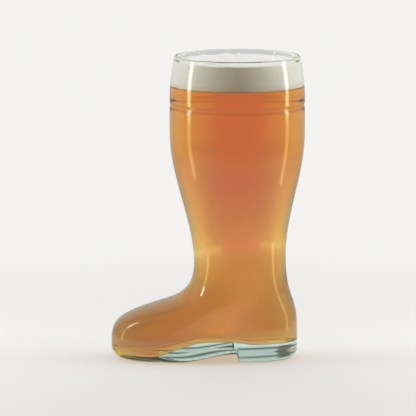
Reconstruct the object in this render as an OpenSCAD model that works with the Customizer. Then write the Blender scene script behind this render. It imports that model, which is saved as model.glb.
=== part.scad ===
// A drinking glass in the shape of a boot, filled with beer under a head of foam.
// Lengths are in millimetres. The toe points to -X, and the table is at z = 0.

/* [Shaft] */
// Height from the table to the top of the rim
glass_h = 185; // [178:1:210]
// Outer diameter at the rim
rim_d = 76.4; // [72:0.2:80]
// Outer diameter at the widest part of the shaft
barrel_d = 82.4; // [80:0.2:90]
// Distance from the rim down to the widest part of the shaft
barrel_drop = 47; // [38:1:60]
// Distance from the rim down to where the shaft begins to draw in
shoulder_drop = 27; // [18:1:36]
// Outer diameter at the ankle, the narrowest part
ankle_d = 56; // [50:0.5:62]
// Height of the ankle
ankle_z = 60; // [56:1:68]
// Distance from the middle of the rim back to the middle of the ankle
ankle_set_back = 1.7; // [0:0.1:4]

/* [Cuff groove] */
// Distance from the rim down to the middle of the groove round the cuff
groove_drop = 30.2; // [24:0.2:40]
// Width of the groove
groove_w = 4.6; // [3:0.2:8]
// Depth of the groove
groove_depth = 0.5; // [0.2:0.1:1.2]

/* [Foot] */
// Distance from the middle of the rim to the tip of the toe
toe_reach = 76.8; // [68:0.2:86]
// Distance from the middle of the rim to the back of the heel
heel_reach = 36.7; // [34:0.1:40]
// Width of the foot across the ball
sole_w = 62; // [58:0.5:70]
// Height of the toe cap, where its side gives way to the slope of the vamp
toe_z = 26; // [23:0.5:30]
// Height of the instep, where the vamp turns up into the shaft
instep_z = 40; // [36:0.5:46]
// Radius of the rounded edge round the bottom of the foot
edge_r = 7; // [4:0.5:7.5]
// Height of the tip of the toe above the table
toe_spring = 1.5; // [0:0.1:3]
// Length of sole over which the toe lifts
toe_spring_len = 24; // [15:1:32]

/* [Heel and arch] */
// Length of the heel, from its front face to the back of the boot
heel_len = 36.4; // [30:0.2:42]
// Height of the arch at the front face of the heel
heel_h = 4.8; // [3:0.1:6.5]
// Length of the arch, from the ball of the foot to the heel
arch_len = 36; // [28:1:40]
// Depth ground off the bottom, which leaves the flat places the boot stands on
ground_t = 0.3; // [0.2:0.1:0.6]

/* [Glass thickness] */
// Thickness of the wall
wall_t = 2.8; // [2:0.1:4]
// Thickness of glass under the ball of the foot
sole_t = 4.2; // [3:0.2:7]
// Height of the cavity's floor above the table, over the arch
arch_floor_z = 12; // [9:0.5:14]
// Height of the cavity's floor above the table, over the heel
heel_floor_z = 10.6; // [8:0.2:13]
// Radius where the cavity's wall meets its floor
floor_r = 5; // [5:0.5:8]

/* [Filling] */
// Distance from the top of the foam up to the rim
freeboard = 4.4; // [2:0.2:12]
// Thickness of the head of foam
head_t = 13.6; // [6:0.2:24]
// Clearance between the filling and the glass
fill_gap = 0.05; // [0.02:0.01:0.2]

/* [Hidden] */

// Points round one ring of the surface
ring_points = 48;
// Levels at which the straight part of the shaft is given, above the ankle
shaft_levels = 14;
// Rings between two given levels of the foot
foot_steps = 2;
// Rings across the groove, and round a quarter of each rounded edge
groove_steps = 6;
edge_steps = 4;
lip_steps = 6;
// Facets of the curves under the sole
sole_steps = 10;
// How far a cut runs past the surface that it opens
overrun = 5;

// Power of the curve that outlines a ring: 2 is an ellipse, and more is squarer
round_power = 2;
sole_power = 2.75;
// Where the sole is narrowest, how far that reaches and how much narrower it is there
waist_place_share = 0.59;
waist_reach_share = 0.16;
waist_share = 0.17;
// Where the cavity's floor starts to climb and ends, along the arch, and where it drops
// again, along the heel
climb_shares = [-0.45, 0.45];
drop_shares = [-0.1, 0.3];

// Levels of the foot. Each row gives its height in its zone, then how far the front, the
// back, the side and the squareness lie between those of the ankle and those of the sole
toe_shares = [
    [0.00, 1.000, 1.00, 1.00, 1.00],
    [0.34, 0.995, 1.00, 0.98, 0.98],
    [0.64, 0.960, 0.99, 0.90, 0.93],
    [0.86, 0.900, 0.97, 0.78, 0.86]
];
vamp_shares = [
    [0.00, 0.830, 0.94, 0.66, 0.78],
    [0.20, 0.720, 0.88, 0.53, 0.68],
    [0.38, 0.590, 0.78, 0.40, 0.55],
    [0.54, 0.455, 0.70, 0.28, 0.42],
    [0.70, 0.325, 0.60, 0.18, 0.30],
    [0.86, 0.215, 0.48, 0.10, 0.18]
];
ankle_shares = [
    [0.08, 0.120, 0.33, 0.04, 0.08],
    [0.30, 0.050, 0.18, 0.00, 0.00],
    [0.62, 0.010, 0.05, 0.00, 0.00]
];

ankle_front = ankle_set_back - ankle_d / 2;
ankle_back = ankle_set_back + ankle_d / 2;
barrel_z = glass_h - barrel_drop;
groove_z = glass_h - groove_drop;
// Height at which the foot's wall starts, above the rounded floor of the cavity
wall_z = sole_t + floor_r;
// Height at which the wall ends and the rounded lip starts
lip_z = glass_h - wall_t / 2;
breast_x = heel_reach - heel_len;
ball_x = breast_x - arch_len;
beer_z = glass_h - freeboard - head_t;
// The origin is under the middle of the object's length
origin_shift = (toe_reach - max(heel_reach, barrel_d / 2)) / 2;

function blend(a, b, share) = a + share * (b - a);
function smooth(share) = let (f = max(0, min(1, share))) f * f * (3 - 2 * f);

// Outer radius and middle of the shaft, which is round at every height
function shaft_rise(z) = max(0, min(1, (z - ankle_z) / (barrel_z - ankle_z)));
function shaft_draw(z) = max(0, 1 - (glass_h - z) / shoulder_drop);
function shaft_r(z) =
    blend(ankle_d, barrel_d, smooth(shaft_rise(z))) / 2
    - (barrel_d - rim_d) / 2 * pow(shaft_draw(z), 2);
function shaft_x(z) = ankle_set_back * pow(1 - shaft_rise(z), 2);

// A level is [height, front, back, half width, power of its outline]
function foot_level(low_z, high_z, shares) = [
    blend(low_z, high_z, shares[0]),
    blend(ankle_front, -toe_reach, shares[1]),
    blend(ankle_back, heel_reach, shares[2]),
    blend(ankle_d, sole_w, shares[3]) / 2,
    blend(round_power, sole_power, shares[4])
];
function shaft_level(z) = [
    z, shaft_x(z) - shaft_r(z), shaft_x(z) + shaft_r(z), shaft_r(z), round_power
];
levels = concat(
    [for (shares = toe_shares) foot_level(wall_z, toe_z, shares)],
    [for (shares = vamp_shares) foot_level(toe_z, instep_z, shares)],
    [for (shares = ankle_shares) foot_level(instep_z, ankle_z, shares)],
    [for (i = [0 : shaft_levels]) shaft_level(blend(ankle_z, lip_z, i / shaft_levels))]
);
ankle_level = len(toe_shares) + len(vamp_shares) + len(ankle_shares);
top_level = ankle_level + shaft_levels;

// A smooth spline through the levels: place 0 is the lowest level, place 1 the next
function bend(i) =
    i <= 0 || i >= top_level
        ? 0 * levels[0]
        : levels[i - 1] - 2 * levels[i] + levels[i + 1];
function control(i) =
    i < 0
        ? 2 * control(0) - control(1)
        : i > top_level
            ? 2 * control(top_level) - control(top_level - 1)
            : levels[i] - bend(i) / 6;
controls = [for (i = [-1 : top_level + 1]) control(i)];
function level_at(place) =
    let (i = min(floor(place), top_level - 1), f = place - i)
    (
        controls[i] * pow(1 - f, 3)
        + controls[i + 1] * (3 * pow(f, 3) - 6 * pow(f, 2) + 4)
        + controls[i + 2] * (-3 * pow(f, 3) + 3 * pow(f, 2) + 3 * f + 1)
        + controls[i + 3] * pow(f, 3)
    ) / 6;
function shaft_place(z) = ankle_level + shaft_levels * (z - ankle_z) / (lip_z - ankle_z);

// Point of a level's outline at an angle, drawn in by an inset. Angle 0 is the toe
function arm(c, power) = sign(c) * pow(abs(c), 2 / power);
function waist(z, along) =
    1 - waist_share * smooth((instep_z - z) / (instep_z - edge_r))
        * exp(-pow((along - waist_place_share) / waist_reach_share, 2));
function outline_point(level, angle, inset) =
    let (
        reach = (level[2] - level[1]) / 2 - inset,
        along = arm(cos(angle), level[4])
    )
    [
        (level[1] + level[2]) / 2 - reach * along,
        (level[3] - inset) * waist(level[0], (1 - along) / 2) * arm(sin(angle), level[4]),
        level[0]
    ];
function angle_of(j) = 360 * j / ring_points;

// Depth of the cuff groove at a height
function groove(z) =
    let (off = min(1, abs(z - groove_z) / (groove_w / 2)))
    groove_depth * (1 + cos(180 * off)) / 2;

// Outward direction of the plain wall, from a small step each way
probe_share = 0.01;
function wall_point(place, angle) = outline_point(level_at(place), angle, 0);
function wall_normal(place, angle) =
    let (
        p = max(probe_share, min(top_level - probe_share, place)),
        up = wall_point(p + probe_share, angle) - wall_point(p - probe_share, angle),
        round = wall_point(p, angle + 1) - wall_point(p, angle - 1),
        normal = cross(up, round)
    )
    normal / norm(normal);

// Height of the bottom of the foot at a place along it, apart from the arch
function toe_lift(x) =
    toe_spring * pow(max(0, min(1, (toe_spring_len - toe_reach - x) / toe_spring_len)), 2);
// Height of the cavity's floor at a place along the foot
function floor_z(x) =
    let (
        climb = (x - ball_x) / arch_len,
        drop = (x - breast_x) / heel_len
    )
    sole_t + toe_lift(x)
    + (arch_floor_z - sole_t)
        * smooth((climb - climb_shares[0]) / (climb_shares[1] - climb_shares[0]))
    - (arch_floor_z - heel_floor_z)
        * smooth((drop - drop_shares[0]) / (drop_shares[1] - drop_shares[0]));
// Raises the low part of the foot, so that its bottom at one height lies at another
function lift(point, from_z, to_z) = [
    point[0],
    point[1],
    point[2] >= toe_z
        ? point[2]
        : to_z + (point[2] - from_z) * (toe_z - to_z) / (toe_z - from_z)
];

// Ring of the rounded edge at the bottom of the outside
function edge_ring(turn) = [
    for (j = [0 : ring_points - 1])
        let (
            point = outline_point(levels[0], angle_of(j), edge_r * (1 - sin(turn))),
            raised = [point[0], point[1], edge_r * (1 - cos(turn)) - ground_t]
        )
        lift(raised, -ground_t, toe_lift(point[0]) - ground_t)
];
// Ring of the rounded edge of the cavity's floor, square in from the wall
function floor_ring(turn, gap) = [
    for (j = [0 : ring_points - 1])
        let (
            out = wall_normal(0, angle_of(j)),
            flat = [out[0], out[1]] / norm([out[0], out[1]]),
            inset = wall_t + gap + floor_r * (1 - sin(turn)),
            wall = wall_point(0, angle_of(j)),
            x = wall[0] - inset * flat[0],
            y = wall[1] - inset * flat[1]
        )
        lift([x, y, sole_t + gap + floor_r * (1 - cos(turn))], sole_t, floor_z(x))
];

foot_places = [for (i = [0 : foot_steps * ankle_level - 1]) i / foot_steps];
shaft_places = [for (i = [0 : shaft_levels]) ankle_level + i];
groove_places = [
    for (i = [0 : groove_steps]) shaft_place(groove_z + groove_w * (i / groove_steps - 1 / 2))
];
below_groove = [for (p = shaft_places) if (p < groove_places[0] - 1 / 4) p];
above_groove = [for (p = shaft_places) if (p > groove_places[groove_steps] + 1 / 4) p];

// Rings of the outside, from the bottom up
outer_rings = concat(
    [for (i = [0 : edge_steps]) edge_ring(90 * i / edge_steps)],
    [
        for (place = concat(foot_places, below_groove, groove_places, above_groove))
            [
                for (j = [0 : ring_points - 1])
                    let (
                        level = level_at(place),
                        point = outline_point(level, angle_of(j), groove(level[0]))
                    )
                    lift(point, -ground_t, toe_lift(point[0]) - ground_t)
            ]
    ]
);

// Rings of a surface inside the wall, from the bottom up, a gap away from the cavity
function inner_ring(place, gap) = [
    for (j = [0 : ring_points - 1])
        let (
            angle = angle_of(j),
            point = wall_point(place, angle) - (wall_t + gap) * wall_normal(place, angle)
        )
        lift(point, sole_t, floor_z(point[0]))
];
function inner_rings(gap) = concat(
    [for (i = [0 : edge_steps - 1]) floor_ring(90 * i / edge_steps, gap)],
    [for (place = concat(foot_places, shaft_places)) inner_ring(place, gap)]
);

// Rings over the rounded lip, from the outside to the inside
lip_rings = [
    for (i = [1 : lip_steps - 1])
        [
            for (j = [0 : ring_points - 1])
                let (
                    turn = 180 * i / lip_steps,
                    out = wall_normal(top_level, angle_of(j)) * wall_t / 2,
                    middle = wall_point(top_level, angle_of(j)) - out
                )
                middle + cos(turn) * out + sin(turn) * [0, 0, glass_h - middle[2]]
        ]
];

function reversed(list) = [for (i = [len(list) - 1 : -1 : 0]) list[i]];

// Closes a stack of rings into a solid. The rings are alike on both sides of the XZ plane,
// so strips across the first and last ring close the ends
module stack(rings) {
    last = len(rings) - 1;
    half = ring_points / 2;
    function spot(i, j) = i * ring_points + (j + ring_points) % ring_points;
    function strip(i, j) = j == 0
        ? [[spot(i, 0), spot(i, 1), spot(i, -1)]]
        : j == half - 1
            ? [[spot(i, half), spot(i, -j), spot(i, j)]]
            : [
                [spot(i, j), spot(i, j + 1), spot(i, -j - 1)],
                [spot(i, j), spot(i, -j - 1), spot(i, -j)]
            ];
    sides = [
        for (i = [0 : last - 1])
            for (j = [0 : ring_points - 1])
                each [
                    [spot(i, j), spot(i, j + 1), spot(i + 1, j + 1)],
                    [spot(i, j), spot(i + 1, j + 1), spot(i + 1, j)]
                ]
    ];
    bottom = [for (j = [0 : half - 1]) each [for (face = strip(0, j)) reversed(face)]];
    top = [for (j = [0 : half - 1]) each strip(last, j)];
    polyhedron(points = [for (ring = rings) each ring], faces = concat(bottom, sides, top));
}

// Everything below the arch, drawn from the side: a long rise and the face of the heel
module arch_cut() {
    rise = [
        for (i = [0 : sole_steps])
            [ball_x + arch_len * i / sole_steps, heel_h * smooth(i / sole_steps)]
    ];
    rotate([90, 0, 0])
        linear_extrude(height = sole_w + 2 * overrun, center = true)
            polygon(concat(rise, [[breast_x, -overrun], [ball_x, -overrun]]));
}

module ground_cut() {
    translate([-toe_reach - overrun, -sole_w, -2 * overrun])
        cube([toe_reach + barrel_d + overrun, 2 * sole_w, 2 * overrun]);
}

module filling() {
    stack(inner_rings(fill_gap));
}

module glass_boot() {
    color([0.80, 0.90, 0.86, 0.45])
        translate([origin_shift, 0, 0])
            difference() {
                stack(concat(outer_rings, lip_rings, reversed(inner_rings(0))));
                ground_cut();
                arch_cut();
            }
}

module beer() {
    color([0.80, 0.47, 0.16])
        translate([origin_shift, 0, 0])
            difference() {
                filling();
                translate([-barrel_d, -barrel_d, beer_z])
                    cube([2 * barrel_d, 2 * barrel_d, glass_h]);
            }
}

module foam_head() {
    color([0.95, 0.92, 0.82])
        translate([origin_shift, 0, 0])
            intersection() {
                filling();
                translate([-barrel_d, -barrel_d, beer_z])
                    cube([2 * barrel_d, 2 * barrel_d, head_t]);
            }
}

glass_boot();
beer();
foam_head();
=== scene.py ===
"""Looks of the boot glass: clear moulded glass, amber beer and a head of foam.

The CAD nodes give the places. The three pieces here follow the same formulas on a much
finer mesh, and each replaces the CAD node of its name. All lengths are in metres.
"""

import math

import bpy
import numpy as np
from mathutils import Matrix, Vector


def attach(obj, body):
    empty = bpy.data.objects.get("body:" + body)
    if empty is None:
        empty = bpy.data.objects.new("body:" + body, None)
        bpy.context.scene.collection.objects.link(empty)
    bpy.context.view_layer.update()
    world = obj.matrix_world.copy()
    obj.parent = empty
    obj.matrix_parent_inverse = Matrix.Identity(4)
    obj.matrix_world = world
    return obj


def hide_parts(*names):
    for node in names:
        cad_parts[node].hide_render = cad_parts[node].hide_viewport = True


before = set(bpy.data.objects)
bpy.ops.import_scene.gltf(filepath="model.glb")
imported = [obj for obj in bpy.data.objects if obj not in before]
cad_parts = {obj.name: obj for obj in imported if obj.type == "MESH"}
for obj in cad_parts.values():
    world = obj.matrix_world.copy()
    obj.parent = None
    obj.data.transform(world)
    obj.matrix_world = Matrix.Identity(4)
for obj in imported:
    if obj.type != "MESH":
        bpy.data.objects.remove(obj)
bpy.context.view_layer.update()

MM = 0.001

# Sizes of the shaft, as in the CAD source
GLASS_H = 185 * MM
RIM_D = 76.4 * MM
BARREL_D = 82.4 * MM
BARREL_Z = GLASS_H - 47 * MM
SHOULDER_DROP = 27 * MM
ANKLE_D = 56 * MM
ANKLE_Z = 60 * MM
ANKLE_SET_BACK = 1.7 * MM
GROOVE_Z = GLASS_H - 30.2 * MM
GROOVE_W = 4.6 * MM
GROOVE_DEPTH = 0.38 * MM

# Sizes of the foot
TOE_REACH = 76.8 * MM
HEEL_REACH = 36.7 * MM
SOLE_W = 62 * MM
TOE_Z = 26 * MM
INSTEP_Z = 40 * MM
EDGE_R = 7 * MM
TOE_SPRING = 1.5 * MM
TOE_SPRING_LEN = 24 * MM
HEEL_LEN = 36.4 * MM
HEEL_H = 4.8 * MM
ARCH_LEN = 36 * MM
GROUND_T = 0.3 * MM
BREAST_W = 1.6 * MM

# Thickness of the glass, and the filling
WALL_T = 2.8 * MM
SOLE_T = 4.2 * MM
ARCH_FLOOR_Z = 12 * MM
HEEL_FLOOR_Z = 10.6 * MM
FLOOR_R = 5 * MM
FREEBOARD = 4.4 * MM
HEAD_T = 13.6 * MM
BEER_Z = GLASS_H - FREEBOARD - HEAD_T
# The beer wets the glass, so its skin lies this far inside the glass
WET = 0.12 * MM

WALL_Z = SOLE_T + FLOOR_R
LIP_Z = GLASS_H - WALL_T / 2
ANKLE_FRONT = ANKLE_SET_BACK - ANKLE_D / 2
ANKLE_BACK = ANKLE_SET_BACK + ANKLE_D / 2
BREAST_X = HEEL_REACH - HEEL_LEN
BALL_X = BREAST_X - ARCH_LEN
SHIFT = (TOE_REACH - BARREL_D / 2) / 2

# Shares of the foot's levels, the same as in the CAD source
TOE_SHARES = [
    (0.00, 1.000, 1.00, 1.00, 1.00),
    (0.34, 0.995, 1.00, 0.98, 0.98),
    (0.64, 0.960, 0.99, 0.90, 0.93),
    (0.86, 0.900, 0.97, 0.78, 0.86),
]
VAMP_SHARES = [
    (0.00, 0.830, 0.94, 0.66, 0.78),
    (0.20, 0.720, 0.88, 0.53, 0.68),
    (0.38, 0.590, 0.78, 0.40, 0.55),
    (0.54, 0.455, 0.70, 0.28, 0.42),
    (0.70, 0.325, 0.60, 0.18, 0.30),
    (0.86, 0.215, 0.48, 0.10, 0.18),
]
ANKLE_SHARES = [
    (0.08, 0.120, 0.33, 0.04, 0.08),
    (0.30, 0.050, 0.18, 0.00, 0.00),
    (0.62, 0.010, 0.05, 0.00, 0.00),
]
ROUND_POWER = 2
SOLE_POWER = 2.75
WAIST_PLACE = 0.59
WAIST_REACH = 0.16
WAIST_SHARE = 0.17
CLIMB = (-0.45, 0.45)
DROP = (-0.1, 0.3)

# Meshes of the glass and the beer: rings in each zone, and points round a ring, which
# crowd together near the front face of the heel
SHAFT_LEVELS = 14
FOOT_STEPS = 8
SHAFT_STEPS = 7
GROOVE_STEPS = 24
CUFF_STEPS = 28
LIP_STEPS = 16
EDGE_STEPS = 14
EDGE_END_POWER = 4
RING_POINTS = 192
BREAST_CROWD = 5
BREAST_CROWD_W = 2.5 * BREAST_W
# Part of a level, and an angle, over which the slope of the wall is measured
SMALL_STEP = 0.01
SMALL_TURN = math.radians(0.5)

# Foam: its mesh, the rise of its middle, and the swells and bubbles on top of it
FOAM_POINTS = 480
FOAM_SIDE_STEPS = 30
FOAM_TOP_STEPS = 130
FOAM_DOME = 0.9 * MM
FOAM_SHOULDER = 0.6 * MM
FOAM_DIP = 0.35 * MM
FOAM_WAVE = 0.22 * MM
FOAM_BUBBLES = 520
FOAM_CLING = 1.7 * MM
FOAM_Z = BEER_Z + HEAD_T + FOAM_CLING
FOAM_EDGE_POWER = 30
FOAM_MIDDLE = 0.01
SWELLS = 14
SWELL_PITCH = (180, 900)
SWELL_HEIGHT = 0.07 * MM
SURFACE_SEED = 7
BUBBLE_MIN_R = 0.4 * MM
BUBBLE_DIVISORS = (0.22, 1)
BUBBLE_DIVISOR_POWER = 0.8
BUBBLE_PLACES = (0, 0.9)
BUBBLE_PLACE_POWER = 0.6
DOME_CHANCE = 0.55
DOME_HEIGHT = 0.42
PIT_DEPTH = 0.3
EDGE_WAVES = (5, 120)
EDGE_WAVE_COUNT = 60
EDGE_SEED = 3

# The range of a soft step is given as ramp() takes it: where it starts and ends, then its
# value at each end, which is 0 and 1 where none is given

# Foam: its shader, the grain of its bubbles and its colours
FOAM_SHADER = {
    "Roughness": 0.45,
    "Subsurface Weight": 0.25,
    "Subsurface Radius": (1, 0.7, 0.4),
    "Subsurface Scale": 2 * MM,
    "Specular IOR Level": 0.3,
}
COARSE_GRAIN = 1100
COARSE_SHARE = 0.6
FINE_GRAIN = 2600
FINE_SHARE = 0.4
CLOUD_GRAIN = 90
CLOUD_DETAIL = 4
FOAM_DRY = (0.95, 0.94, 0.92)
# Painted darker in the hollows between bubbles: partly painted shade, partly wetter foam
FOAM_HOLLOW = (0.89, 0.86, 0.80)
FOAM_PATCH = (0.96, 0.94, 0.88)
FOAM_WET = (0.86, 0.66, 0.40)
HOLLOW_STEP = (0.15, 0.75)
PATCH_STEP = (0.35, 0.75, 0, 0.35)
WET_STEP = (BEER_Z - 0.5 * MM, BEER_Z + 4 * MM, 0.55, 0)
FOAM_BUMP = 0.35
FOAM_BUMP_HEIGHT = 0.3 * MM

# Clear media: refraction, how much light of each colour they let through, and a faint
# painted glow
# The painted glow is light that glass and beer give off of themselves, though they are no
# lamps
CLEAR_SHADER = {"Base Color": (1, 1, 1, 1), "Transmission Weight": 1, "Roughness": 0}
GLASS_IOR = 1.5
GLASS_TINT = (0.70, 0.93, 0.86)
GLASS_DENSITY = 24
GLASS_GLOW = 0.6
GLASS_GLOW_COLOUR = (1.0, 0.95, 0.95)
GLASS_GLINT = 0.5
BEER_IOR = 1.34
BEER_TINT = (0.95, 0.77, 0.40)
BEER_DENSITY = 105
BEER_GLOW = 0.7
BEER_GLOW_COLOUR = (0.75, 0.26, 0.03)

# Thresholds for how often a ray bounced or passed, each halfway between whole numbers
ONCE = 0.5
TWICE = 1.5
BEER_PASSES = 4.5

# The floor lies a hair under the soles, as air parts them from it
FLOOR_REACH = 15
FLOOR_GAP = 0.05 * MM
FLOOR_COLOUR = (0.76, 0.755, 0.74)
FLOOR_FADE = (0.1, 0.5, 0.3, 1)
# Share of the beer's painted view, painted shade included, on the floor close to the boot
CROSSED_SHARE = 0.85

# The plain background, and the room that lights the object from all around
BACKGROUND = (0.90, 0.895, 0.88)
MIRROR_TURN = (-0.2, 0.6)
ROOM_FRONT = (0.38, 0.27, 0.14)
ROOM_TURN = (-0.3, 0.3)
ROOM_LEVEL = (-0.6, 0.5, 0.15, 0.6)
ROOM_LOW_LEVEL = (0, 0.5, 0.2, 0)

# Painted views in clear glass, which the camera doesn't see: grey, with painted dark bands
# on both sides and a painted dark line along the horizon. What turned inside is painted
# darker.
GLASS_VIEW = (0.60, 0.59, 0.59)
GLASS_TURN = (0.54, 0.53, 0.51)
GLASS_DARK_SIDE = (0.11, 0.12, 0.10)
DARK_SIDE_START = (0.33, 0.45)
DARK_SIDE_END = (0.62, 0.78, 1, 0)
GLASS_LINE = (0.08, 0.08, 0.06)
LINE_START = (0, 0.06, 0, 0.9)
LINE_END = (0.08, 0.2, 1, 0)
# Painted shade for rays that turned twice inside the glass
GLASS_INNER_SHADE = (0.06, 0.06, 0.05)
# Painted reflection: what the glass mirrors, and what it shows toward the front
MIRROR_VIEW = (0.51, 0.53, 0.52)
FRONT_TURN = (-0.1, 0.1)

# Painted view that only rays through the beer see: warm straight behind it, paler beside
# that. Close to the boot it is painted darker, as painted shade, and far away golden.
BEER_VIEW_CORE = (0.89, 0.68, 0.74)
BEER_VIEW_MIDDLE = (0.93, 0.97, 0.95)
BEER_VIEW_SIDE = (1.00, 1.20, 0.85)
SIDE_SPREAD = (0.2, 0.52)
CORE_SPREAD = (0.165, 0.225, 1, 0)
CORE_START = (0.45, 1)
CORE_FAR_SHARE = 0.6
BEER_VIEW_TOE = (0.44, 0.33, 0.17)
BEER_VIEW_NEAR = (0.64, 0.55, 0.22)
TOE_SPREAD = (-0.5, -0.1)
BEER_VIEW_LOW = (0.82, 0.68, 0.25)
LOW_START = (0.08, 0.35)
BEER_VIEW_UNDER = (0.73, 0.60, 0.26)
UNDER_SPREAD = (0.016, 0.03, 1, 0)
UNDER_END = (0.08, 0.1, 1, 0)
NEAR_SHADE_FADE = (0.4, 1)
BEER_VIEW_FAR_STEP = (1.15, 2.5)
FAR_MIDDLE = (0.81, 0.76, 0.40)
FAR_SIDE = (1.00, 1.15, 0.27)
FAR_LOW = (0.97, 0.92, 0.92)
FAR_HIGH = (0.90, 0.80, 0.70)
HORIZON_RISE = (0.003, 0.03)

# Tall lamps streak both sides of the glass, and square ones fill it with soft light. A
# lamp's level is how bright its face shows, 1 being white.
STRIP_PLACES = {"strip_left": (-0.24, -0.025), "strip_right": (0.28, -0.011)}
STRIP_Z = 0.13
STRIP_SIZE = (0.06, 0.26)
STRIP_LEVEL = 11
STRIP_LOW_COLOUR = (0.28, 0.27, 0.09)
STRIP_MIDDLE_COLOUR = (0.62, 0.85, 0.40)
STRIP_TOP_COLOUR = (1, 1, 0.92)
STRIP_MIDDLE_STEP = (0.115, 0.13)
STRIP_TOP_STEP = (0.15, 0.17)
BOXES = [
    ("top_box", (0, 0.5, 0.9), (0.9, 0.9), 1.3),
    ("side_box", (-0.4, 0.03, 0.3), (0.3, 0.3), 4),
    ("side_box", (0.4, 0.03, 0.3), (0.3, 0.3), 4),
]
BOX_AIM = (0, 0, 0.09)

CAMERA_PLACE = (0, -4, 0.627)
CAMERA_TARGET = (0, 0, 0.0915)
CAMERA_LENS = 573
CAMERA_SENSOR = 36

# Sockets of a Mix node that are for colours
MIX_A, MIX_B, MIX_RESULT = 6, 7, 2


def blend(a, b, share):
    return a + share * (b - a)


def smooth(share):
    f = np.clip(share, 0, 1)
    return f * f * (3 - 2 * f)


def shaft_radius(z):
    """Outer radius of the shaft, which is round at every height."""
    rise = (z - ANKLE_Z) / (BARREL_Z - ANKLE_Z)
    draw = np.maximum(0, 1 - (GLASS_H - z) / SHOULDER_DROP)
    return (
        blend(ANKLE_D, BARREL_D, smooth(rise)) / 2 - (BARREL_D - RIM_D) / 2 * draw**2
    )


def shaft_middle(z):
    rise = np.clip((z - ANKLE_Z) / (BARREL_Z - ANKLE_Z), 0, 1)
    return ANKLE_SET_BACK * (1 - rise) ** 2


def foot_levels(low_z, high_z, shares):
    """Levels of one zone of the foot: height, front, back, half width and power."""
    return [
        (
            blend(low_z, high_z, up),
            blend(ANKLE_FRONT, -TOE_REACH, front),
            blend(ANKLE_BACK, HEEL_REACH, back),
            blend(ANKLE_D, SOLE_W, side) / 2,
            blend(ROUND_POWER, SOLE_POWER, square),
        )
        for up, front, back, side, square in shares
    ]


def shaft_levels():
    heights = [blend(ANKLE_Z, LIP_Z, i / SHAFT_LEVELS) for i in range(SHAFT_LEVELS + 1)]
    return [
        (
            z,
            shaft_middle(z) - shaft_radius(z),
            shaft_middle(z) + shaft_radius(z),
            shaft_radius(z),
            ROUND_POWER,
        )
        for z in heights
    ]


LEVELS = np.array(
    foot_levels(WALL_Z, TOE_Z, TOE_SHARES)
    + foot_levels(TOE_Z, INSTEP_Z, VAMP_SHARES)
    + foot_levels(INSTEP_Z, ANKLE_Z, ANKLE_SHARES)
    + shaft_levels()
)
ANKLE_LEVEL = len(TOE_SHARES) + len(VAMP_SHARES) + len(ANKLE_SHARES)
TOP_LEVEL = len(LEVELS) - 1


def spline_controls():
    """Control values of a smooth spline that follows the levels."""
    inner = LEVELS.copy()
    inner[1:-1] -= (LEVELS[:-2] - 2 * LEVELS[1:-1] + LEVELS[2:]) / 6
    return np.vstack([2 * inner[0] - inner[1], inner, 2 * inner[-1] - inner[-2]])


CONTROLS = spline_controls()


def level_at(place):
    """Level at a place along the spline: place 0 is the lowest level, 1 the next."""
    place = np.asarray(place, float)
    i = np.clip(np.floor(place).astype(int), 0, TOP_LEVEL - 1)
    f = (place - i)[..., None]
    return (
        CONTROLS[i] * (1 - f) ** 3
        + CONTROLS[i + 1] * (3 * f**3 - 6 * f**2 + 4)
        + CONTROLS[i + 2] * (-3 * f**3 + 3 * f**2 + 3 * f + 1)
        + CONTROLS[i + 3] * f**3
    ) / 6


def shaft_place(z):
    return ANKLE_LEVEL + SHAFT_LEVELS * (z - ANKLE_Z) / (LIP_Z - ANKLE_Z)


def arm(c, power):
    return np.sign(c) * np.abs(c) ** (2 / power)


def outline(level, angles, inset):
    """Points of a level's outline at some angles, drawn in by an inset. 0 is the toe."""
    z, front, back, side, power = np.moveaxis(level, -1, 0)
    along = arm(np.cos(angles), power)
    spread = (1 - along) / 2
    low = smooth((INSTEP_Z - z) / (INSTEP_Z - EDGE_R))
    waist = 1 - WAIST_SHARE * low * np.exp(
        -(((spread - WAIST_PLACE) / WAIST_REACH) ** 2)
    )
    x = (front + back) / 2 - ((back - front) / 2 - inset) * along
    y = (side - inset) * waist * arm(np.sin(angles), power)
    return np.stack([x, y, z + 0 * x], -1)


def groove(z):
    """Depth of the groove round the cuff at a height."""
    off = np.minimum(1, np.abs(z - GROOVE_Z) / (GROOVE_W / 2))
    return GROOVE_DEPTH * (1 + np.cos(np.pi * off)) / 2


def ring_angles():
    """Angles of a ring's points, closer together near the front face of the heel."""
    even = np.linspace(0, np.pi, RING_POINTS // 2 + 1)
    level = level_at(0)
    x = outline(level, even, 0)[:, 0]
    crowd = 1 + BREAST_CROWD * np.exp(-(((x - BREAST_X) / BREAST_CROWD_W) ** 2))
    arc = np.r_[0, np.cumsum((crowd[1:] + crowd[:-1]) / 2)]
    half = np.interp(np.linspace(0, arc[-1], len(even)), arc, even)
    return np.r_[half, -half[-2:0:-1]]


ANGLES = ring_angles()


def wall_points(places, angles=ANGLES):
    return outline(level_at(places)[:, None, :], angles[None, :], 0)


def wall_normals(places):
    """Outward directions of the plain wall, from a small step each way."""
    p = np.clip(places, SMALL_STEP, TOP_LEVEL - SMALL_STEP)
    up = wall_points(p + SMALL_STEP) - wall_points(p - SMALL_STEP)
    around = wall_points(p, ANGLES + SMALL_TURN) - wall_points(p, ANGLES - SMALL_TURN)
    normal = np.cross(up, around)
    return normal / np.linalg.norm(normal, axis=-1, keepdims=True)


def toe_lift(x):
    return (
        TOE_SPRING
        * np.clip((TOE_SPRING_LEN - TOE_REACH - x) / TOE_SPRING_LEN, 0, 1) ** 2
    )


def sole_z(x):
    """Height of the underside along the foot: toe, ball, arch, heel."""
    rise = HEEL_H * smooth((x - BALL_X) / ARCH_LEN)
    face = 1 - smooth((x - BREAST_X + BREAST_W / 2) / BREAST_W)
    return toe_lift(x) + rise * face - GROUND_T


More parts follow.
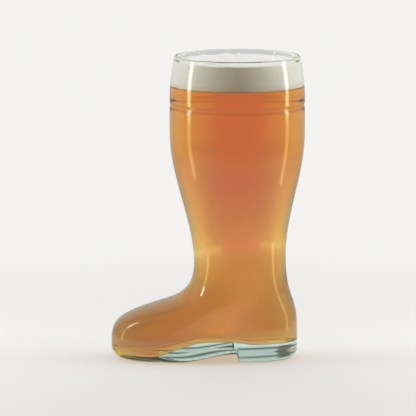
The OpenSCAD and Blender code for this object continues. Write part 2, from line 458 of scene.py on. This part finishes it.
def floor_z(x):
    """Height of the cavity's floor along the foot."""
    climb = ((x - BALL_X) / ARCH_LEN - CLIMB[0]) / (CLIMB[1] - CLIMB[0])
    drop = ((x - BREAST_X) / HEEL_LEN - DROP[0]) / (DROP[1] - DROP[0])
    high = (ARCH_FLOOR_Z - SOLE_T) * smooth(climb)
    return (
        SOLE_T + toe_lift(x) + high - (ARCH_FLOOR_Z - HEEL_FLOOR_Z) * smooth(drop)
    )


def lift(points, from_z, to_z):
    """Raises the low part of the foot, so that its bottom lies at another height."""
    z = points[..., 2]
    target = to_z(points[..., 0])
    low = target + (z - from_z) * (TOE_Z - target) / (TOE_Z - from_z)
    return np.concatenate(
        [points[..., :2], np.where(z >= TOE_Z, z, low)[..., None]], -1
    )


def quarter_turns():
    return math.pi / 2 * np.arange(EDGE_STEPS + 1) / EDGE_STEPS


def edge_rings():
    """Rings of the outside's rounded edge, from the bottom up to the wall.

    An inset ring is shorter, but its points keep their places along the foot, so the
    front face of the heel stays straight. Only near the ends are they drawn in.
    """
    level = LEVELS[0]
    _, front, back, _, power = level
    reach = (back - front) / 2
    along = arm(np.cos(ANGLES), power)
    rings = []
    for turn in quarter_turns():
        inset = EDGE_R * (1 - math.sin(turn))
        share = along * (reach - inset * along**EDGE_END_POWER) / (reach - inset)
        c = np.clip(np.sign(share) * np.abs(share) ** (power / 2), -1, 1)
        ring = outline(level, np.copysign(np.arccos(c), ANGLES), inset)
        ring[:, 2] = EDGE_R * (1 - math.cos(turn)) - GROUND_T
        rings.append(ring)
    return np.array(rings)


def floor_rings(gap):
    """Rings of the cavity's rounded lower edge, from its floor up to the wall."""
    wall = wall_points(np.zeros(1))[0]
    out = wall_normals(np.zeros(1))[0] * (1, 1, 0)
    out /= np.linalg.norm(out, axis=-1, keepdims=True)
    rings = []
    for turn in quarter_turns()[:-1]:
        ring = wall - (WALL_T + gap + FLOOR_R * (1 - math.sin(turn))) * out
        ring[:, 2] = SOLE_T + gap + FLOOR_R * (1 - math.cos(turn))
        rings.append(ring)
    return np.array(rings)


def steps(first, last, count):
    return np.linspace(first, last, count, endpoint=False)


def outer_rings():
    """Rings of the outside of the glass, from the bottom up."""
    groove_low = shaft_place(GROOVE_Z - GROOVE_W / 2)
    groove_high = shaft_place(GROOVE_Z + GROOVE_W / 2)
    places = np.r_[
        steps(0, ANKLE_LEVEL, ANKLE_LEVEL * FOOT_STEPS),
        steps(ANKLE_LEVEL, groove_low, SHAFT_LEVELS * SHAFT_STEPS),
        steps(groove_low, groove_high, GROOVE_STEPS),
        np.linspace(groove_high, TOP_LEVEL, CUFF_STEPS),
    ]
    level = level_at(places)[:, None, :]
    wall = outline(level, ANGLES[None, :], groove(level[..., 0]))
    rings = np.concatenate([edge_rings(), wall])
    rings = lift(rings, -GROUND_T, sole_z)
    rings[..., 2] = np.maximum(rings[..., 2], 0)
    return rings


def inner_rings(gap, top_z=None):
    """Rings inside the wall, a gap away from the cavity, from the bottom up."""
    last = TOP_LEVEL if top_z is None else shaft_place(top_z)
    places = np.r_[
        steps(0, ANKLE_LEVEL, ANKLE_LEVEL * FOOT_STEPS),
        np.linspace(ANKLE_LEVEL, last, SHAFT_LEVELS * SHAFT_STEPS),
    ]
    wall = wall_points(places) - (WALL_T + gap) * wall_normals(places)
    rings = np.concatenate([floor_rings(gap), wall])
    return lift(rings, SOLE_T, floor_z)


def lip_rings():
    """Rings over the rounded lip, from the outside to the inside."""
    top = np.array([TOP_LEVEL])
    out = wall_normals(top)[0] * WALL_T / 2
    middle = wall_points(top)[0] - out
    rings = []
    for i in range(1, LIP_STEPS):
        turn = math.pi * i / LIP_STEPS
        ring = middle + math.cos(turn) * out
        ring[:, 2] += math.sin(turn) * (GLASS_H - middle[:, 2])
        rings.append(ring)
    return np.array(rings)


def cap(start, count):
    """Faces that close a ring with strips from one side to the other."""
    half = count // 2
    faces = [(start, start + 1, start + count - 1)]
    for j in range(1, half - 1):
        faces.append(
            (start + j, start + j + 1, start + count - j - 1, start + count - j)
        )
    faces.append((start + half - 1, start + half, start + count - half + 1))
    return faces


def stack(name, rings):
    """A mesh object from a stack of rings, closed across its first and last ring."""
    count = rings.shape[1]
    points = rings.reshape(-1, 3) + (SHIFT, 0, 0)
    faces = [tuple(reversed(f)) for f in cap(0, count)]
    for i in range(len(rings) - 1):
        a, b = i * count, (i + 1) * count
        for j in range(count):
            k = (j + 1) % count
            faces.append((a + j, a + k, b + k, b + j))
    faces += cap((len(rings) - 1) * count, count)
    # The rings run clockwise seen from above, so every face is turned over
    faces = [tuple(reversed(f)) for f in faces]
    mesh = bpy.data.meshes.new(name)
    mesh.from_pydata([tuple(p) for p in points], [], faces)
    mesh.validate()
    mesh.polygons.foreach_set("use_smooth", [True] * len(mesh.polygons))
    piece = bpy.data.objects.new(name, mesh)
    bpy.context.scene.collection.objects.link(piece)
    return piece


def finish_piece(piece, node, looks):
    piece.data.materials.append(looks)
    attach(piece, "root")
    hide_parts(node)


def set_values(shader, values):
    for key, value in values.items():
        shader.inputs[key].default_value = value


def material(name, values):
    """A new material, its node tree and its Principled shader with some values set."""
    made = bpy.data.materials.new(name)
    made.use_nodes = True
    shader = made.node_tree.nodes["Principled BSDF"]
    set_values(shader, values)
    return made, made.node_tree, shader


def node(tree, kind, **values):
    made = tree.nodes.new(kind)
    for key, value in values.items():
        if key in made.inputs:
            made.inputs[key].default_value = value
        else:
            setattr(made, key, value)
    return made


def connect(tree, socket, value):
    """Sets a socket to another node's output, or else to a fixed value or colour."""
    if isinstance(value, bpy.types.NodeSocket):
        tree.links.new(value, socket)
    elif isinstance(value, tuple):
        socket.default_value = (*value, 1)
    elif value is not None:
        socket.default_value = value


def calculate(tree, operation, a, b=None):
    made = node(tree, "ShaderNodeMath", operation=operation)
    connect(tree, made.inputs[0], a)
    connect(tree, made.inputs[1], b)
    return made.outputs[0]


def vector_math(tree, operation, vector, output=0):
    made = node(tree, "ShaderNodeVectorMath", operation=operation)
    tree.links.new(vector, made.inputs[0])
    return made, made.outputs[output]


def axes_of(tree, vector):
    axes = node(tree, "ShaderNodeSeparateXYZ")
    tree.links.new(vector, axes.inputs[0])
    return axes.outputs["X"], axes.outputs["Y"], axes.outputs["Z"]


def ramp(tree, value, low, high, to_low=0, to_high=1):
    """A soft step from one value to another, as another value climbs."""
    made = node(tree, "ShaderNodeMapRange", interpolation_type="SMOOTHSTEP")
    made.inputs["From Min"].default_value = low
    made.inputs["From Max"].default_value = high
    made.inputs["To Min"].default_value = to_low
    made.inputs["To Max"].default_value = to_high
    tree.links.new(value, made.inputs["Value"])
    return made.outputs["Result"]


def join_colours(tree, share, a, b, way):
    made = node(tree, "ShaderNodeMix", data_type="RGBA", blend_type=way)
    connect(tree, made.inputs[0], share)
    connect(tree, made.inputs[MIX_A], a)
    connect(tree, made.inputs[MIX_B], b)
    return made.outputs[MIX_RESULT]


def mix_colour(tree, share, low, high):
    """A colour between two others, each a fixed colour or another node's output."""
    return join_colours(tree, share, low, high, "MIX")


def times(tree, a, b):
    """Two colours multiplied, each a fixed colour or another node's output."""
    return join_colours(tree, 1, a, b, "MULTIPLY")


def show_mix(tree, output, share, low, high):
    """Shows one shader where the share is 0 and another one where it is 1."""
    mix = node(tree, "ShaderNodeMixShader")
    for socket, value in zip(mix.inputs, (share, low, high)):
        tree.links.new(value, socket)
    tree.links.new(mix.outputs[0], tree.nodes[output].inputs["Surface"])


def texture(tree, kind, scale, **values):
    """A texture laid out by place, in metres, so it has the same grain all over."""
    place = node(tree, "ShaderNodeTexCoord")
    made = node(tree, kind, Scale=scale, **values)
    tree.links.new(place.outputs["Object"], made.inputs["Vector"])
    return made.outputs


def add_medium(tree, tint, density, glow_colour, glow_level):
    """Fills a closed piece with a clear medium that takes colour out of the light.

    A faint painted glow, light that the medium gives off itself, keeps its depths from
    turning black where no light gets through.
    """
    volume = node(tree, "ShaderNodeVolumeAbsorption", Density=density)
    volume.inputs["Color"].default_value = (*tint, 1)
    glow = node(tree, "ShaderNodeEmission", Strength=glow_level)
    glow.inputs["Color"].default_value = (*glow_colour, 1)
    both = node(tree, "ShaderNodeAddShader")
    tree.links.new(volume.outputs[0], both.inputs[0])
    tree.links.new(glow.outputs[0], both.inputs[1])
    tree.links.new(both.outputs[0], tree.nodes["Material Output"].inputs["Volume"])


def clear_material(name, ior, *medium):
    """A clear shader over a medium that takes colour out of the light.

    Lamp light passes straight through it, so what is inside and below stays lit.
    """
    made, tree, shader = material(name, {**CLEAR_SHADER, "IOR": ior})
    add_medium(tree, *medium)
    shadow = node(tree, "ShaderNodeLightPath").outputs["Is Shadow Ray"]
    through = node(tree, "ShaderNodeBsdfTransparent").outputs[0]
    show_mix(tree, "Material Output", shadow, shader.outputs[0], through)
    return made, tree, shader


def glass_material():
    """Clear glass. Where beer wets it, it has no glint of its own."""
    made, tree, shader = clear_material(
        "clear_glass", GLASS_IOR, GLASS_TINT, GLASS_DENSITY, GLASS_GLOW_COLOUR, GLASS_GLOW
    )
    glint = node(tree, "ShaderNodeAttribute", attribute_name="glint")
    tree.links.new(glint.outputs["Fac"], shader.inputs["Specular IOR Level"])
    return made


def beer_material():
    """Clear beer. Glass covers it all around, so it has no glint."""
    made, _, shader = clear_material(
        "amber_beer", BEER_IOR, BEER_TINT, BEER_DENSITY, BEER_GLOW_COLOUR, BEER_GLOW
    )
    set_values(shader, {"Specular IOR Level": 0})
    return made


def foam_material():
    """Cream foam: fine bubbles of two sizes, and wetter and darker near the beer."""
    made, tree, shader = material("cream_foam", FOAM_SHADER)
    coarse = texture(tree, "ShaderNodeTexVoronoi", COARSE_GRAIN)["Distance"]
    fine = texture(tree, "ShaderNodeTexVoronoi", FINE_GRAIN)["Distance"]
    cloud = texture(tree, "ShaderNodeTexNoise", CLOUD_GRAIN, Detail=CLOUD_DETAIL)[0]
    large = calculate(tree, "MULTIPLY", coarse, COARSE_SHARE)
    small = calculate(tree, "MULTIPLY", fine, FINE_SHARE)
    grain = calculate(tree, "ADD", large, small)
    # The hollows between bubbles get the darker colour: partly painted shade, partly wetter
    # foam
    dry = mix_colour(tree, ramp(tree, grain, *HOLLOW_STEP), FOAM_DRY, FOAM_HOLLOW)
    dry = mix_colour(tree, ramp(tree, cloud, *PATCH_STEP), dry, FOAM_PATCH)
    place = node(tree, "ShaderNodeTexCoord").outputs["Object"]
    _, _, height = axes_of(tree, place)
    colour = mix_colour(tree, ramp(tree, height, *WET_STEP), dry, FOAM_WET)
    tree.links.new(colour, shader.inputs["Base Color"])
    bump = node(tree, "ShaderNodeBump", Strength=FOAM_BUMP, Distance=FOAM_BUMP_HEIGHT)
    bump.invert = True
    tree.links.new(grain, bump.inputs["Height"])
    tree.links.new(bump.outputs[0], shader.inputs["Normal"])
    return made


def make_glass():
    outside = np.concatenate([outer_rings(), lip_rings()])
    inside = inner_rings(0)[::-1]
    piece = stack("glass_boot_smooth", np.concatenate([outside, inside]))
    finish_piece(piece, "glass_boot", glass_material())
    dry = np.r_[
        np.full(len(outside) * RING_POINTS, True), inside[..., 2].ravel() > BEER_Z
    ]
    glint = piece.data.attributes.new("glint", "FLOAT", "POINT")
    glint.data.foreach_set("value", np.where(dry, GLASS_GLINT, 0.0))


def make_beer():
    rings = inner_rings(-WET, BEER_Z)
    rings[-1, :, 2] = BEER_Z
    finish_piece(stack("beer_fill", rings), "beer", beer_material())


def uneven(angles, count, seed):
    """An even mix of waves round a ring, between about -1 and 1."""
    random = np.random.default_rng(seed)
    waves = random.integers(*EDGE_WAVES, count)
    phases = random.uniform(0, 2 * np.pi, count)
    weights = (EDGE_WAVES[0] / waves) ** 0.5
    total = (weights * np.sin(waves * angles[:, None] + phases)).sum(1)
    return total / weights.sum() * 2


def foam_surface(x, y, radius):
    """Height of the foam above its edge: a low dome with soft swells and bubbles."""
    random = np.random.default_rng(SURFACE_SEED)
    share = np.hypot(x, y) / radius
    height = FOAM_DOME * (1 - share**2) - FOAM_SHOULDER * share**FOAM_EDGE_POWER
    for _ in range(SWELLS):
        turn = random.uniform(0, 2 * np.pi)
        pitch = random.uniform(*SWELL_PITCH)
        phase = random.uniform(0, 2 * np.pi)
        swell = np.sin(pitch * (x * np.cos(turn) + y * np.sin(turn)) + phase)
        height = height + SWELL_HEIGHT * swell
    for _ in range(FOAM_BUBBLES):
        size = BUBBLE_MIN_R / random.uniform(*BUBBLE_DIVISORS) ** BUBBLE_DIVISOR_POWER
        away = radius * random.uniform(*BUBBLE_PLACES) ** BUBBLE_PLACE_POWER
        turn = random.uniform(0, 2 * np.pi)
        near = np.hypot(x - away * np.cos(turn), y - away * np.sin(turn)) / size
        bubble = size * np.sqrt(np.clip(1 - near**2, 0, 1))
        is_dome = random.uniform() < DOME_CHANCE
        height = height + bubble * (DOME_HEIGHT if is_dome else -PIT_DEPTH)
    return height


def foam_radius(z):
    """Radius of the foam against the glass, a hair inside its wall."""
    place = shaft_place(np.asarray(z, float))
    slope = level_at(place + SMALL_STEP) - level_at(place - SMALL_STEP)
    tilt = np.hypot(1, slope[..., 3] / slope[..., 0])
    return level_at(place)[..., 3] - (WALL_T - WET / 2) * tilt


def foam_rings():
    """Rings of the foam: up the wall, over the edge and in to the middle."""
    angles = np.linspace(0, 2 * np.pi, FOAM_POINTS, endpoint=False)
    low = BEER_Z - FOAM_DIP + FOAM_WAVE * uneven(angles, EDGE_WAVE_COUNT, EDGE_SEED)
    high = np.full(FOAM_POINTS, FOAM_Z - FOAM_SHOULDER)
    rings = []
    for share in np.linspace(0, 1, FOAM_SIDE_STEPS):
        z = blend(low, high, share)
        rings.append(np.stack([foam_radius(z), z], -1))
    edge = foam_radius(FOAM_Z)
    for share in np.linspace(1, FOAM_MIDDLE, FOAM_TOP_STEPS)[1:]:
        r = np.full(FOAM_POINTS, edge * share)
        z = FOAM_Z + foam_surface(-r * np.cos(angles), r * np.sin(angles), edge)
        rings.append(np.stack([r, z], -1))
    r, z = np.moveaxis(np.array(rings), -1, 0)
    return np.stack([-r * np.cos(angles), r * np.sin(angles), z], -1)


def make_foam():
    piece = stack("foam_head_fine", foam_rings())
    finish_piece(piece, "foam_head", foam_material())


def direction_axes(tree, place):
    """Distance of a place from the boot along the floor, and its unit direction."""
    flat, along = vector_math(tree, "MULTIPLY", place)
    flat.inputs[1].default_value = (1, 1, 0)
    _, away = vector_math(tree, "LENGTH", along, "Value")
    _, unit = vector_math(tree, "NORMALIZE", along)
    x, y, _ = axes_of(tree, unit)
    return away, x, y


def close_shade(tree, across, away, x):
    """Painted shade of the beer's view of the floor close to the boot. Further away it
    turns white.
    """
    close = mix_colour(tree, ramp(tree, x, *TOE_SPREAD), BEER_VIEW_TOE, BEER_VIEW_NEAR)
    close = mix_colour(tree, ramp(tree, away, *LOW_START), close, BEER_VIEW_LOW)
    under = ramp(tree, calculate(tree, "ABSOLUTE", across), *UNDER_SPREAD)
    under = calculate(tree, "MULTIPLY", under, ramp(tree, away, *UNDER_END))
    close = mix_colour(tree, under, close, BEER_VIEW_UNDER)
    return mix_colour(tree, ramp(tree, away, *NEAR_SHADE_FADE), close, (1, 1, 1))


def beer_view(tree, place, away, x, on_floor):
    """Painted colour of what the beer shows in each direction, on the floor or above it."""
    _, across, height = axes_of(tree, place)
    aside = calculate(tree, "ABSOLUTE", x)
    to_side = ramp(tree, aside, *SIDE_SPREAD)
    behind = ramp(tree, aside, *CORE_SPREAD)
    far = mix_colour(tree, to_side, FAR_MIDDLE, FAR_SIDE)
    core = calculate(tree, "MULTIPLY", behind, CORE_FAR_SHARE)
    far = mix_colour(tree, core, far, BEER_VIEW_CORE)
    if not on_floor:
        rise = ramp(tree, height, *HORIZON_RISE)
        return times(tree, far, mix_colour(tree, rise, FAR_LOW, FAR_HIGH))
    far = times(tree, far, FAR_LOW)
    near_view = mix_colour(tree, to_side, BEER_VIEW_MIDDLE, BEER_VIEW_SIDE)
    core = calculate(tree, "MULTIPLY", behind, ramp(tree, away, *CORE_START))
    near_view = mix_colour(tree, core, near_view, BEER_VIEW_CORE)
    near_view = times(tree, near_view, close_shade(tree, across, away, x))
    return mix_colour(tree, ramp(tree, away, *BEER_VIEW_FAR_STEP), near_view, far)


def clear_view(tree, path, place, x, y, on_floor):
    """Painted colour of what clear glass shows in each direction, and a painted reflection
    of what it mirrors.
    """
    turned = calculate(tree, "GREATER_THAN", path["Glossy Depth"], ONCE)
    clear = mix_colour(tree, turned, GLASS_VIEW, GLASS_TURN)
    aside = calculate(tree, "ABSOLUTE", x)
    dark_side = ramp(tree, aside, *DARK_SIDE_START)
    dark_side = calculate(tree, "MULTIPLY", dark_side, ramp(tree, aside, *DARK_SIDE_END))
    clear = mix_colour(tree, dark_side, clear, GLASS_DARK_SIDE)
    if not on_floor:
        _, _, height = axes_of(tree, place)
        line = ramp(tree, height, *LINE_START)
        line = calculate(tree, "MULTIPLY", line, ramp(tree, height, *LINE_END))
        clear = mix_colour(tree, line, clear, GLASS_LINE)
    # Painted shade: rays that turned twice inside the glass see it near black
    inside = calculate(tree, "GREATER_THAN", path["Glossy Depth"], TWICE)
    clear = mix_colour(tree, inside, clear, GLASS_INNER_SHADE)
    clear = mix_colour(tree, ramp(tree, y, *FRONT_TURN), MIRROR_VIEW, clear)
    return mix_colour(tree, path["Is Reflection Ray"], clear, MIRROR_VIEW)


def background(tree, place, on_floor):
    """The share of a ray's light that is plain background, its colour, and the beer's rays.

    The camera sees an even background, and clear glass sees its own painted view. A ray
    that has crossed the beer has passed six surfaces, and it sees the beer's painted view.
    Light that bounced off the foam or the floor sees a room that is dim and warm in front.
    """
    path = node(tree, "ShaderNodeLightPath").outputs
    away, x, y = direction_axes(tree, place)
    mirrored = ramp(tree, y, *MIRROR_TURN)
    mirrored = calculate(tree, "MULTIPLY", path["Is Glossy Ray"], mirrored)
    share = calculate(tree, "MAXIMUM", path["Is Transmission Ray"], mirrored)
    share = calculate(tree, "MAXIMUM", share, path["Is Camera Ray"])
    crossed = calculate(tree, "GREATER_THAN", path["Transmission Depth"], BEER_PASSES)
    clear = clear_view(tree, path, place, x, y, on_floor)
    colour = mix_colour(tree, crossed, clear, beer_view(tree, place, away, x, on_floor))
    lit = calculate(tree, "LESS_THAN", path["Diffuse Depth"], ONCE)
    lit = calculate(tree, "MAXIMUM", lit, ramp(tree, y, *ROOM_TURN))
    colour = mix_colour(tree, lit, ROOM_FRONT, colour)
    colour = mix_colour(tree, path["Is Camera Ray"], colour, BACKGROUND)
    return share, colour, crossed


def floor_plane():
    corners = [(-1, -1), (1, -1), (1, 1), (-1, 1)]
    places = [(x * FLOOR_REACH, y * FLOOR_REACH, -FLOOR_GAP) for x, y in corners]
    mesh = bpy.data.meshes.new("floor")
    mesh.from_pydata(places, [], [tuple(range(len(places)))])
    floor = bpy.data.objects.new("floor", mesh)
    bpy.context.scene.collection.objects.link(floor)
    return floor


def floor_material():
    """Pale and matt. Far from the glass it turns into the plain background."""
    colour = (*FLOOR_COLOUR, 1)
    made, tree, shader = material(
        "pale_floor", {"Base Color": colour, "Roughness": 1, "Specular IOR Level": 0}
    )
    made.cycles.emission_sampling = "NONE"
    place = node(tree, "ShaderNodeNewGeometry").outputs["Position"]
    _, away = vector_math(tree, "LENGTH", place, "Value")
    share, colour, crossed = background(tree, place, True)
    # Rays through the beer see its painted view, painted shade included, even close to the
    # boot
    crossed = calculate(tree, "MULTIPLY", crossed, CROSSED_SHARE)
    far = calculate(tree, "MAXIMUM", ramp(tree, away, *FLOOR_FADE), crossed)
    share = calculate(tree, "MULTIPLY", far, share)
    glow = node(tree, "ShaderNodeEmission")
    tree.links.new(colour, glow.inputs["Color"])
    show_mix(tree, "Material Output", share, shader.outputs[0], glow.outputs[0])
    return made


def make_floor():
    floor = floor_plane()
    floor.data.materials.append(floor_material())


def turn_to(place, aim):
    return (Vector(aim) - Vector(place)).to_track_quat("-Z", "Y").to_euler()


def area_light(name, place, size, level, aim):
    """A lamp whose face shows as bright as its level, 1 being white."""
    lamp = bpy.data.lights.new(name, "AREA")
    lamp.shape = "RECTANGLE"
    lamp.size, lamp.size_y = size
    lamp.energy = level * math.pi * size[0] * size[1]
    made = bpy.data.objects.new(name, lamp)
    made.location = place
    made.rotation_euler = turn_to(place, aim)
    made.visible_camera = False
    made.visible_transmission = False
    bpy.context.scene.collection.objects.link(made)
    return made


def strip_light(name, x, y):
    """A tall lamp beside the glass. It fades out sideways and is dim and golden below."""
    made = area_light(name, (x, y, STRIP_Z), STRIP_SIZE, STRIP_LEVEL, (0, y, STRIP_Z))
    made.visible_diffuse = False
    lamp = made.data
    lamp.use_nodes = True
    tree = lamp.node_tree
    face = node(tree, "ShaderNodeNewGeometry").outputs["Position"]
    middle, off = vector_math(tree, "SUBTRACT", face)
    middle.inputs[1].default_value = (x, y, 0)
    _, across, height = axes_of(tree, off)
    above = ramp(tree, height, *STRIP_MIDDLE_STEP)
    colour = mix_colour(tree, above, STRIP_LOW_COLOUR, STRIP_MIDDLE_COLOUR)
    above = ramp(tree, height, *STRIP_TOP_STEP)
    colour = mix_colour(tree, above, colour, STRIP_TOP_COLOUR)
    across = calculate(tree, "ABSOLUTE", across)
    glow = tree.nodes["Emission"]
    tree.links.new(colour, glow.inputs["Color"])
    fade = ramp(tree, across, 0, STRIP_SIZE[0] / 2, 1, 0)
    tree.links.new(fade, glow.inputs["Strength"])


def make_lights():
    for name, (x, y) in STRIP_PLACES.items():
        strip_light(name, x, y)
    for box in BOXES:
        area_light(*box, BOX_AIM).visible_glossy = False


def make_world():
    """Plain background where the camera sees it, and a room that is dim in front."""
    world = bpy.data.worlds.new("studio")
    bpy.context.scene.world = world
    world.use_nodes = True
    tree = world.node_tree
    direction = node(tree, "ShaderNodeTexCoord").outputs["Generated"]
    _, behind, height = axes_of(tree, direction)
    room = tree.nodes["Background"]
    room.inputs["Color"].default_value = (1, 1, 1, 1)
    level = ramp(tree, behind, *ROOM_LEVEL)
    level = calculate(tree, "ADD", level, ramp(tree, height, *ROOM_LOW_LEVEL))
    tree.links.new(level, room.inputs["Strength"])
    # Rays through the glass and the beer see their painted views here
    share, colour, _ = background(tree, direction, False)
    view = node(tree, "ShaderNodeBackground")
    tree.links.new(colour, view.inputs["Color"])
    show_mix(tree, "World Output", share, room.outputs[0], view.outputs[0])


def make_camera():
    """The picture's own view: the toe to the left, seen from a little above."""
    camera = bpy.data.cameras.new("camera")
    camera.lens, camera.sensor_width = CAMERA_LENS, CAMERA_SENSOR
    made = bpy.data.objects.new("camera", camera)
    made.location = CAMERA_PLACE
    made.rotation_euler = turn_to(CAMERA_PLACE, CAMERA_TARGET)
    bpy.context.scene.collection.objects.link(made)
    bpy.context.scene.camera = made


make_camera()
make_glass()
make_beer()
make_foam()
make_floor()
make_lights()
make_world()

bpy.context.scene.view_settings.view_transform = "Standard"
